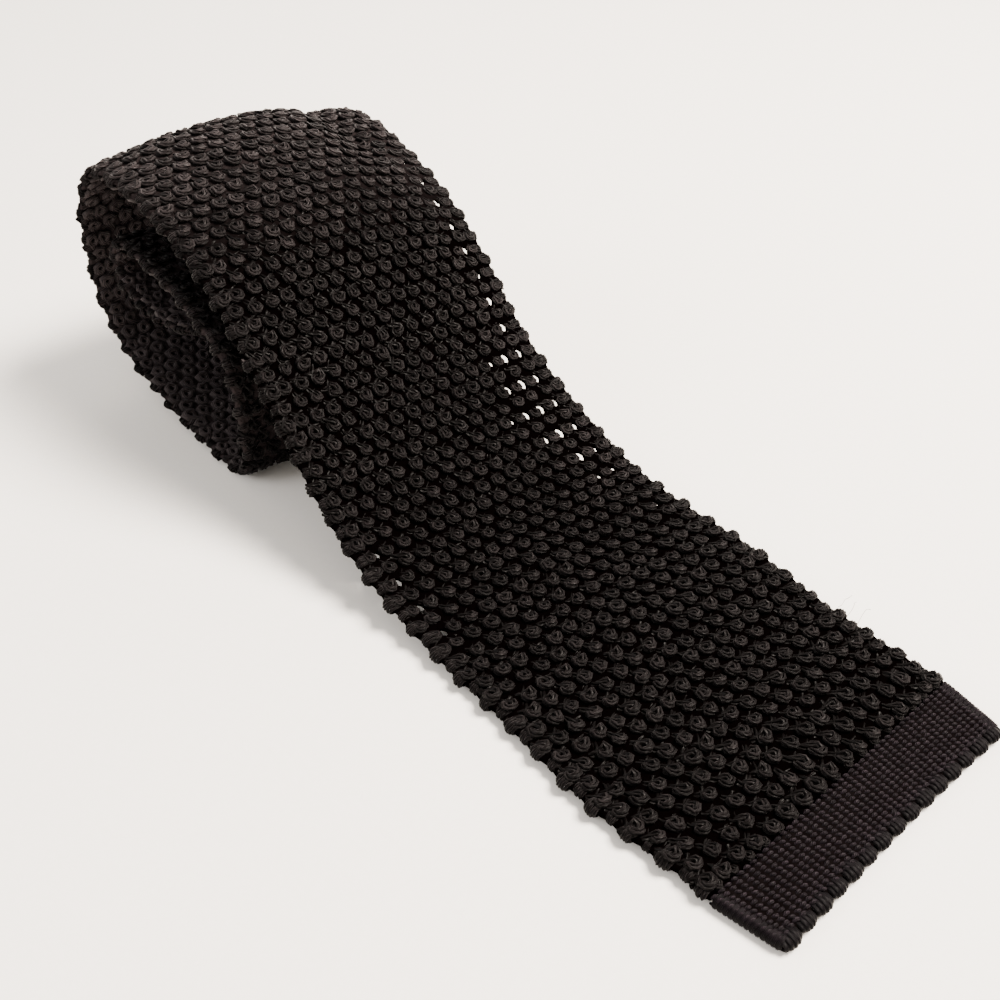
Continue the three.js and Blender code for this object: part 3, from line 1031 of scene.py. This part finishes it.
class TIE_OT_build_stage(bpy.types.Operator):
    """Lays the floor and sets the lights and the camera."""

    bl_idname = "tie.build_stage"
    bl_label = "Build stage"

    def execute(self, context):
        scene = context.scene
        stage = scene.tie_stage
        side = stage.floor_size / 2
        corners = [(-side, -side, 0), (side, -side, 0), (side, side, 0), (-side, side, 0)]
        mesh = bpy.data.meshes.new("floor")
        mesh.from_pydata(corners, [], [(0, 1, 2, 3)])
        mesh.materials.append(matt_painted_board("Matt painted board", stage.floor_colour))
        floor = bpy.data.objects.new("floor", mesh)
        scene.collection.objects.link(floor)

        world = bpy.data.worlds.new("Room")
        world.use_nodes = True
        background = world.node_tree.nodes["Background"]
        background.inputs["Color"].default_value = linear("#F5EEE5")
        background.inputs["Strength"].default_value = stage.room_light
        scene.world = world

        for name, place, size, power, colour in (
                ("window", (0.30, 0.42, 0.76), 0.42, stage.window_power, "#FFF4E8"),
                ("back_wall", (-0.62, 0.50, 0.36), 0.5, stage.back_power, "#FFF4EA"),
                ("fill", (-0.30, -0.80, 0.50), 0.5, stage.fill_power, "#F6F4F4")):
            light = bpy.data.lights.new(name, "AREA")
            light.size = size
            light.energy = power
            light.color = linear(colour)[:3]
            lamp = bpy.data.objects.new(name, light)
            lamp.location = place
            lamp.rotation_euler = (Vector((0, 0, 0.02)) - Vector(place)).to_track_quat("-Z", "Y").to_euler()
            scene.collection.objects.link(lamp)

        camera = bpy.data.cameras.new("camera")
        camera.sensor_width = 36.0
        camera.lens = stage.lens
        camera.clip_start = 0.005
        eye = bpy.data.objects.new("camera", camera)
        forward = Vector((math.cos(stage.heading) * math.cos(stage.pitch),
                          math.sin(stage.heading) * math.cos(stage.pitch), -math.sin(stage.pitch)))
        right = forward.cross(Vector((0, 0, 1))).normalized()
        up = right.cross(forward)
        turned_right = right * math.cos(stage.roll) - up * math.sin(stage.roll)
        turned_up = up * math.cos(stage.roll) + right * math.sin(stage.roll)
        axes = Matrix((turned_right, turned_up, -forward)).transposed()
        eye.matrix_world = Matrix.Translation(Vector(stage.eye)) @ axes.to_4x4()
        scene.collection.objects.link(eye)
        scene.camera = eye
        return {"FINISHED"}


class TIE_PT_sidebar(bpy.types.Panel):
    """Lists the tie's pieces."""

    bl_idname = "TIE_PT_sidebar"
    bl_label = "Knit tie"
    bl_space_type = "VIEW_3D"
    bl_region_type = "UI"
    bl_category = "Knit tie"

    def draw(self, context):
        for operator in OPERATORS:
            self.layout.operator(operator.bl_idname)
        for name in SETTINGS:
            group = getattr(context.scene, name)
            box = self.layout.box()
            for key in group.__annotations__:
                box.prop(group, key)


OPERATORS = (TIE_OT_build_stage, TIE_OT_build_blade, TIE_OT_build_hem_band, TIE_OT_build_neckband)
SETTINGS = {
    "tie_cloth": TieClothSettings,
    "tie_way": TieWaySettings,
    "tie_hem": TieHemSettings,
    "tie_neck": TieNeckSettings,
    "tie_stage": TieStageSettings,
}


def register():
    for group in SETTINGS.values():
        bpy.utils.register_class(group)
    for operator in OPERATORS:
        bpy.utils.register_class(operator)
    bpy.utils.register_class(TIE_PT_sidebar)
    for name, group in SETTINGS.items():
        setattr(bpy.types.Scene, name, bpy.props.PointerProperty(type=group))


def unregister():
    for name in SETTINGS:
        delattr(bpy.types.Scene, name)
    bpy.utils.unregister_class(TIE_PT_sidebar)
    for operator in reversed(OPERATORS):
        bpy.utils.unregister_class(operator)
    for group in reversed(SETTINGS.values()):
        bpy.utils.unregister_class(group)


def main():
    register()
    bpy.ops.tie.build_stage()
    bpy.ops.tie.build_blade()
    bpy.ops.tie.build_hem_band()
    bpy.ops.tie.build_neckband()


if __name__ == "__main__":
    main()
